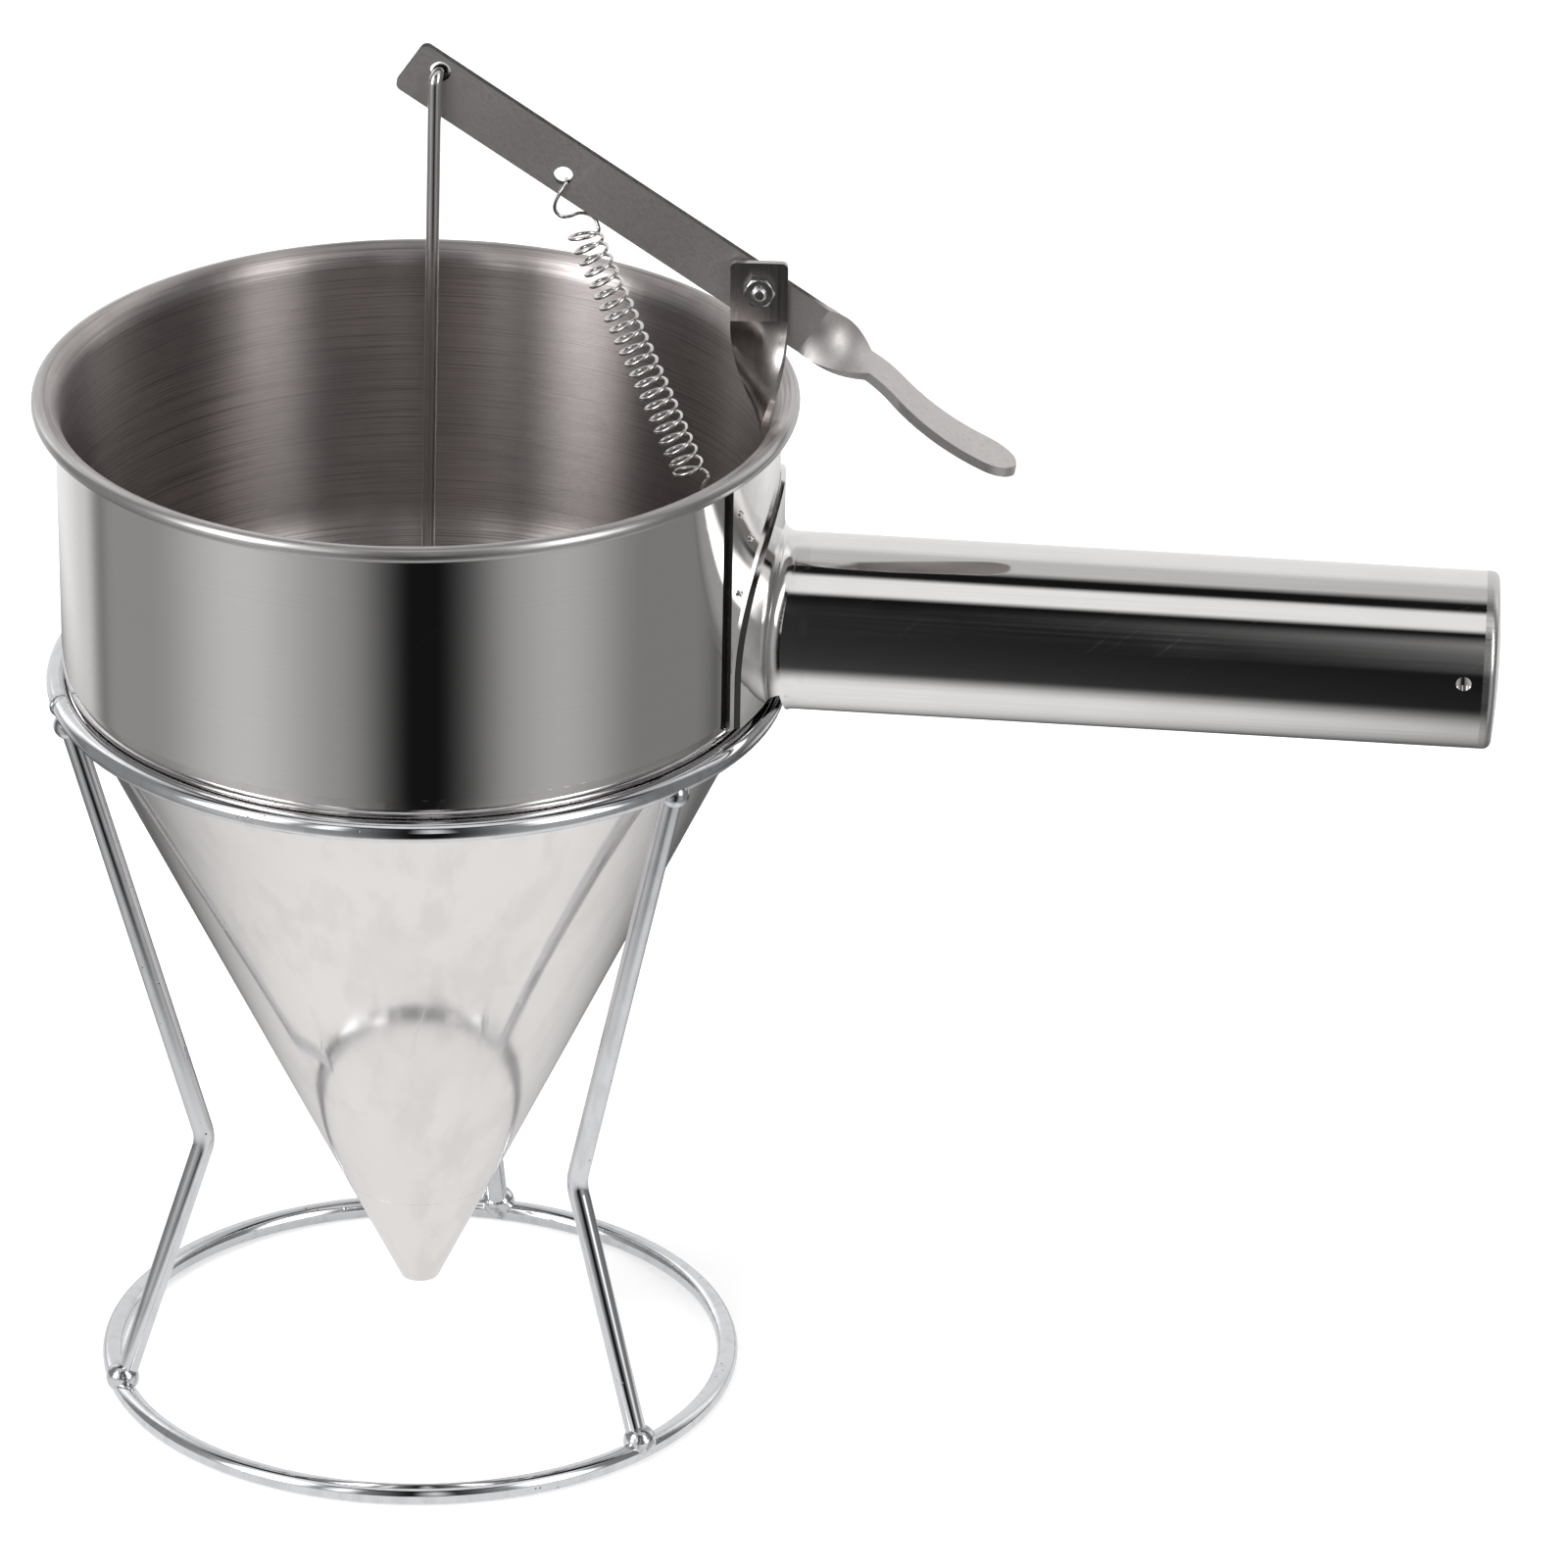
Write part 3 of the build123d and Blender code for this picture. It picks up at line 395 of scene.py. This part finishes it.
bead_tree = wire_tree("butt_weld", weld_chrome)
for name, node, at, ease in (("seat_ring_butt_weld", "stand_seat_ring", SEAT_RING_AT, SEAT_EASE),
                             ("base_ring_butt_weld", "stand_base_ring", BASE_RING_AT, BASE_EASE)):
    low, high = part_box(node)
    ring_r = high[0] / MM - WIRE_R
    middle_z = (low[2] + high[2]) / 2 / MM
    path = []
    for along, share in BEAD:
        turn = radians(at) + along / ring_r
        reach = ring_r + ease[0] * (share - 1) * WIRE_R
        rise = ease[1] * max(share - 1, 0) * WIRE_R
        path.append((reach * cos(turn), reach * sin(turn), middle_z + rise))
    line = wire_line(name, path, [share for along, share in BEAD])
    bead = grown(line, bead_tree, weld_chrome, Wire_Radius=WIRE_R * MM, Sides=WIRE_SIDES)
    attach(bead, "stand")

# ---------------------------------------------------------------- hopper wall
# One drawn sheet of stainless steel: mirror-polished outside, brushed round and round inside right
# over the flare, with a satin rim that is rolled outwards.
RIM_FOOT = 209.3 * MM
RIM_BLEND = 1.2 * MM
# Where the outside's polish takes over from the brushing, as the share of a face's normal that points out.
POLISH_START = (-0.25, 0.05)
MIRROR = (0.80, 0.785, 0.775)
CONE_MIRROR = (0.80, 0.77, 0.755)
BRUSHED = (0.56, 0.515, 0.505)
SATIN_RIM = (0.56, 0.545, 0.54)
UPRIGHT = (0, 0, 1)


def wall_paint(name, colour, **finish):
    """The polish on the faces that point away from the hopper's axis, the brushing on those towards it."""
    paint, tree = new_paint(name)
    outside = steel(tree, colour, scratch=0.04, **finish)
    inside = steel(tree, BRUSHED, rough=0.32, spread=0.05, grain=(36, 36, 0.27), depth=4e-6, stain=0.24,
                   stretch=1.0, across=UPRIGHT)
    satin = steel(tree, SATIN_RIM, rough=0.31, spread=0.05, grain=(40, 40, 0.25), depth=3e-6, stain=0.16,
                  stretch=0.5, across=UPRIGHT)
    seat = add(tree, "ShaderNodeTexCoord")
    level = add(tree, "ShaderNodeVectorMath", {"operation": "MULTIPLY"}, i0=seat.outputs["Object"],
                i1=(1, 1, 0))
    out = add(tree, "ShaderNodeVectorMath", {"operation": "NORMALIZE"}, i0=level.outputs[0])
    facing_out = add(tree, "ShaderNodeVectorMath", {"operation": "DOT_PRODUCT"}, i0=out.outputs[0],
                     i1=seat.outputs["Normal"]).outputs["Value"]
    height = add(tree, "ShaderNodeSeparateXYZ", i0=seat.outputs["Object"]).outputs[2]
    rimmed = add(tree, "ShaderNodeMixShader", i0=soft_step(tree, height, RIM_FOOT, RIM_FOOT + RIM_BLEND),
                 i1=outside, i2=satin)
    whole = add(tree, "ShaderNodeMixShader", i0=soft_step(tree, facing_out, *POLISH_START), i1=inside,
                i2=rimmed.outputs[0])
    add(tree, "ShaderNodeOutputMaterial", Surface=whole.outputs[0])
    return paint


band_wall = wall_paint("polished_band", MIRROR, rough=0.05, spread=0.01, grain=(240, 240, 0.5), depth=1.5e-7,
                       stain=0.012, ripple=6e-6)
cone_wall = wall_paint("polished_cone", CONE_MIRROR, rough=0.085, spread=0.02, grain=(8, 8, 220),
                       depth=2.2e-5, stain=0.05, ripple=1.8e-5)
dress(nodes["hopper_band"], band_wall)
dress(nodes["hopper_cone"], cone_wall)
dress(nodes["hopper_spout"], cone_wall)

# ---------------------------------------------------------------- handle
# A tube with a pressed-in cap, welded to the neck of an arched flange on a curved saddle. All of it
# is mirror-polished with the hopper; the tube was polished lengthwise.
HANDLE_SLOPE = radians(2)
CAP_STEEL = (0.66, 0.65, 0.64)

tube_polish = steel_paint("polished_tube", MIRROR, rough=0.05, spread=0.02, grain=(70, 0.5, 0.5), depth=3e-7,
                          turn=(0, HANDLE_SLOPE, 0), stain=0.04, scratch=0.03)
plate_polish = steel_paint("polished_plate", MIRROR, rough=0.07, spread=0.03, grain=(8, 8, 8), depth=1e-6,
                           stain=0.06, ripple=1e-5, scratch=0.10)
cap_satin = steel_paint("satin_cap", CAP_STEEL, rough=0.24, spread=0.05, grain=(30, 0.3, 30), depth=2e-6,
                        stain=0.12)
dress(nodes["handle_tube"], tube_polish)
dress(nodes["handle_saddle"], plate_polish)
dress(nodes["handle_flange"], plate_polish)
dress(nodes["handle_end_cap"], cap_satin)

# ---------------------------------------------------------------- spot welds
# The saddle is spot-welded to the wall: at each weld the electrode leaves a small round dent with a
# raised lip. Both halves of the saddle have the same welds.
SADDLE_R = 71.5
# Degrees away from the handle, and height.
SPOTS = ((24.3, 164), (24.3, 185), (24.3, 202), (20.5, 195))
SPOT_R = 0.6
LIP_R = 0.13
DENT_DEPTH = 0.1
SPOT_SIDES = 20
LIP_SIDES = 8

spot_tree, given = nodes_tree("spot_weld", Spot_Radius="NodeSocketFloat", Lip_Radius="NodeSocketFloat")
round_line = add(spot_tree, "GeometryNodeCurvePrimitiveCircle", {"mode": "RADIUS"}, Resolution=SPOT_SIDES,
                 Radius=given.outputs["Spot Radius"])
lip_line = add(spot_tree, "GeometryNodeCurvePrimitiveCircle", {"mode": "RADIUS"}, Resolution=LIP_SIDES,
               Radius=given.outputs["Lip Radius"])
lip = add(spot_tree, "GeometryNodeCurveToMesh", Curve=round_line.outputs[0],
          Profile_Curve=lip_line.outputs[0])
bed = add(spot_tree, "GeometryNodeMeshCylinder", {"fill_type": "TRIANGLE_FAN"}, Vertices=SPOT_SIDES,
          Radius=given.outputs["Spot Radius"], Depth=DENT_DEPTH * MM)
mark = add(spot_tree, "GeometryNodeJoinGeometry")
spot_tree.links.new(lip.outputs[0], mark.inputs[0])
spot_tree.links.new(bed.outputs[0], mark.inputs[0])
out_of_wall = add(spot_tree, "GeometryNodeInputNamedAttribute", {"data_type": "FLOAT_VECTOR"},
                  Name="out_of_wall")
turned = add(spot_tree, "FunctionNodeAlignRotationToVector", {"axis": "Z"}, Vector=out_of_wall.outputs[0])
copies = add(spot_tree, "GeometryNodeInstanceOnPoints", Points=given.outputs[0], Instance=mark.outputs[0],
             Rotation=turned.outputs[0])
finish_tree(spot_tree, copies.outputs[0], plate_polish)

spot_places = []
outwards = []
for turn, z in SPOTS:
    for hand in (-1, 1):
        out = Vector((cos(radians(turn * hand)), sin(radians(turn * hand)), 0))
        spot_places.append(out * SADDLE_R * MM + Vector((0, 0, z * MM)))
        outwards.append(out)
points_mesh = bpy.data.meshes.new("spot_welds")
points_mesh.from_pydata(spot_places, [], [])
normals = points_mesh.attributes.new("out_of_wall", "FLOAT_VECTOR", "POINT")
normals.data.foreach_set("vector", [part for out in outwards for part in out])
spots = grown(plain_object("spot_welds", points_mesh), spot_tree, plate_polish, Spot_Radius=SPOT_R * MM,
              Lip_Radius=LIP_R * MM)
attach(spots, "hopper")

# ---------------------------------------------------------------- lever and bracket
# Sheared steel strip with fine lengthwise brushing, tumbled after it was bent. The lever is satin, and the
# edges of its bar are painted near black as painted shade; the bracket kept more of its shine. The bolt, nut
# and spacer are zinc-plated.
LEVER_SLOPE = radians(34.5)
LEVER_STEEL = (0.63, 0.60, 0.59)
EDGE_SHADE_STEEL = (0.04, 0.037, 0.035)
BRACKET_STEEL = (0.50, 0.47, 0.455)
ZINC = (0.80, 0.79, 0.785)
# The painted shade on the bar's edges ends where the bar begins to twist into the thumb pad.
BAR_END = 76 * MM
BAR_FADE = 6 * MM
EDGE_START = (0.35, 0.75)

lever_satin, tree = new_paint("satin_lever")
flat = steel(tree, LEVER_STEEL, rough=0.45, spread=0.05, grain=(1.3, 0.4, 0.4), depth=5e-6,
             turn=(0, LEVER_SLOPE, 0), stain=0.06, scratch=0.03)
# Painted shade: the edges of the lever's bar get a near-black steel.
shaded_edges = steel(tree, EDGE_SHADE_STEEL, rough=0.42, spread=0.06, grain=(0.4, 30, 0.4), depth=3e-5,
                turn=(0, LEVER_SLOPE, 0), stain=0.3)
seat = add(tree, "ShaderNodeTexCoord")
aside = maths(tree, "ABSOLUTE", add(tree, "ShaderNodeSeparateXYZ", i0=seat.outputs["Normal"]).outputs[1])
reach = add(tree, "ShaderNodeSeparateXYZ", i0=seat.outputs["Object"]).outputs[0]
on_bar = soft_step(tree, reach, BAR_END, BAR_END + BAR_FADE, 1.0, 0.0)
# Where the painted shade goes: faces that turn away from the bar's flat sides, on the bar only.
edge = maths(tree, "MULTIPLY", soft_step(tree, aside, *EDGE_START, 1.0, 0.0), on_bar)
whole = add(tree, "ShaderNodeMixShader", i0=edge, i1=flat, i2=shaded_edges)
add(tree, "ShaderNodeOutputMaterial", Surface=whole.outputs[0])
dress(nodes["lever"], lever_satin)
bracket_polish = steel_paint("bracket_strip", BRACKET_STEEL, rough=0.17, spread=0.05, grain=(0.5, 0.5, 22),
                             depth=2e-6, stain=0.14, ripple=6e-6, scratch=0.1)
dress(nodes["pivot_bracket"], bracket_polish)
zinc_plating = steel_paint("zinc_plating", ZINC, rough=0.14, spread=0.06, grain=(1.2, 1.2, 1.2), depth=8e-6,
                           stain=0.14)
for name in ("pivot_bolt", "pivot_nut", "pivot_spacer"):
    dress(nodes[name], zinc_plating)

# ---------------------------------------------------------------- rod and plug
# Drawn stainless wire bent into a hook that hangs in the lever, with the turned plug on its lower end.
# The wire shows its draw marks, the plug its turning marks.
ROD_STEEL = (0.62, 0.60, 0.585)
PLUG_STEEL = (0.66, 0.65, 0.64)

drawn_wire = steel_paint("drawn_wire", ROD_STEEL, rough=0.16, spread=0.05, grain=(0.4, 0.4, 30), depth=4e-6,
                         stain=0.16)
turned_plug = steel_paint("turned_plug", PLUG_STEEL, rough=0.20, spread=0.06, grain=(30, 30, 0.3), depth=4e-6,
                          stain=0.12)
dress(nodes["plunger_rod"], drawn_wire)
dress(nodes["plug"], turned_plug)

# ---------------------------------------------------------------- return spring
# Hard-drawn spring wire: a hook through the lever's hole, an open neck, a right-handed coil and a hook
# under the bracket's ear.
SPRING_STEEL = (0.72, 0.70, 0.69)
SPRING_TOP = Vector((28.67, 2.5, 258.81))
SPRING_FOOT = Vector((57.97, 0.0, 189.5))
SPRING_WIRE = 0.75
SPRING_SIDES = 8
COIL_R = 3.025
COIL_ASIDE = 1.0
FIRST_COIL = 12.1
LAST_COIL = 67.5
TURNS = 22
STEPS = 24
# The end coils lean by this much, over this many turns.
END_LEAN = 1.1
LEANING_TURNS = 1.4
# From the middle of the lever's bar to the middle of the wire on its face.
BAR_PAST = 0.9 + SPRING_WIRE / 2

down = (SPRING_FOOT - SPRING_TOP).normalized()
beside = Vector((0, 1, 0)).cross(down).normalized()
front = beside.cross(down)


def by_spring(along, aside, across=0.0):
    """A point by its way down the spring, beside it, and across the lever."""
    return SPRING_TOP + down * along + beside * aside + Vector((0, across, 0))


def eased(points, steps=6):
    """Points on a smooth line through the given ones."""
    ends = [points[0] * 2 - points[1], *points, points[-1] * 2 - points[-2]]
    line = []
    for before, start, end, after in zip(ends, ends[1:], ends[2:], ends[3:]):
        for step in range(steps):
            share = step / steps
            pull = (end - before) / 2
            push = (after - start) / 2
            curve = start * (2 * share**3 - 3 * share**2 + 1) + end * (3 * share**2 - 2 * share**3)
            line.append(curve + pull * (share**3 - 2 * share**2 + share) + push * (share**3 - share**2))
    return line + [points[-1]]


coils = []
for step in range(TURNS * STEPS + 1):
    share = step / (TURNS * STEPS)
    turn = 2 * pi * TURNS * share
    from_end = min(share, 1 - share) * TURNS
    lean = max(0.0, 1 - from_end / LEANING_TURNS) * END_LEAN * cos(turn)
    centre = by_spring(FIRST_COIL + (LAST_COIL - FIRST_COIL) * share + lean, COIL_ASIDE)
    coils.append(centre - beside * COIL_R * cos(turn) + front * COIL_R * sin(turn))
# Round the edge of the hole in the lever, then in an open bow back to the first coil.
neck = [by_spring(3.6, 0.3, BAR_PAST), by_spring(2.2, 0.1, BAR_PAST), by_spring(1.5, 0, BAR_PAST * 0.8),
        by_spring(1.4, 0, 0), by_spring(1.5, 0, -BAR_PAST * 0.8), Vector((28.8, 1.2, 256.4)),
        Vector((27.8, 1.2, 254.8)), Vector((27.1, 1.5, 252.9)), Vector((27.2, 1.9, 251.2)),
        Vector((28.3, 2.2, 250.0)), Vector((29.9, 2.4, 250.0)), Vector((31.6, 2.6, 250.6)),
        Vector((33.3, 3.0, 250.3)), Vector((34.8, 3.3, 249.2))]
# From the last coil in to the spring's middle, and forwards under the ear.
under_ear = SPRING_FOOT + down * 1.45
tail = [by_spring(LAST_COIL + 1.6, COIL_ASIDE - COIL_R + 0.5), by_spring(LAST_COIL + 3.2, 0.2),
        SPRING_FOOT - down * 1.5, SPRING_FOOT + down * 0.8, under_ear - Vector((0.9, 0, 0.1)),
        under_ear - Vector((2.6, 0, 0))]
path = eased(neck + [coils[0]])[:-1] + coils + eased([coils[-1]] + tail)[1:]
spring_wire = steel_paint("spring_wire", SPRING_STEEL, rough=0.10, spread=0.03, grain=(3, 3, 3), depth=4e-6,
                          stain=0.10)
spring_tree = wire_tree("spring_wire", spring_wire)
line = wire_line("return_spring_coil", path, [1.0] * len(path))
spring = grown(line, spring_tree, spring_wire, Wire_Radius=SPRING_WIRE / 2 * MM, Sides=SPRING_SIDES)
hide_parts("return_spring")
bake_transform(spring)
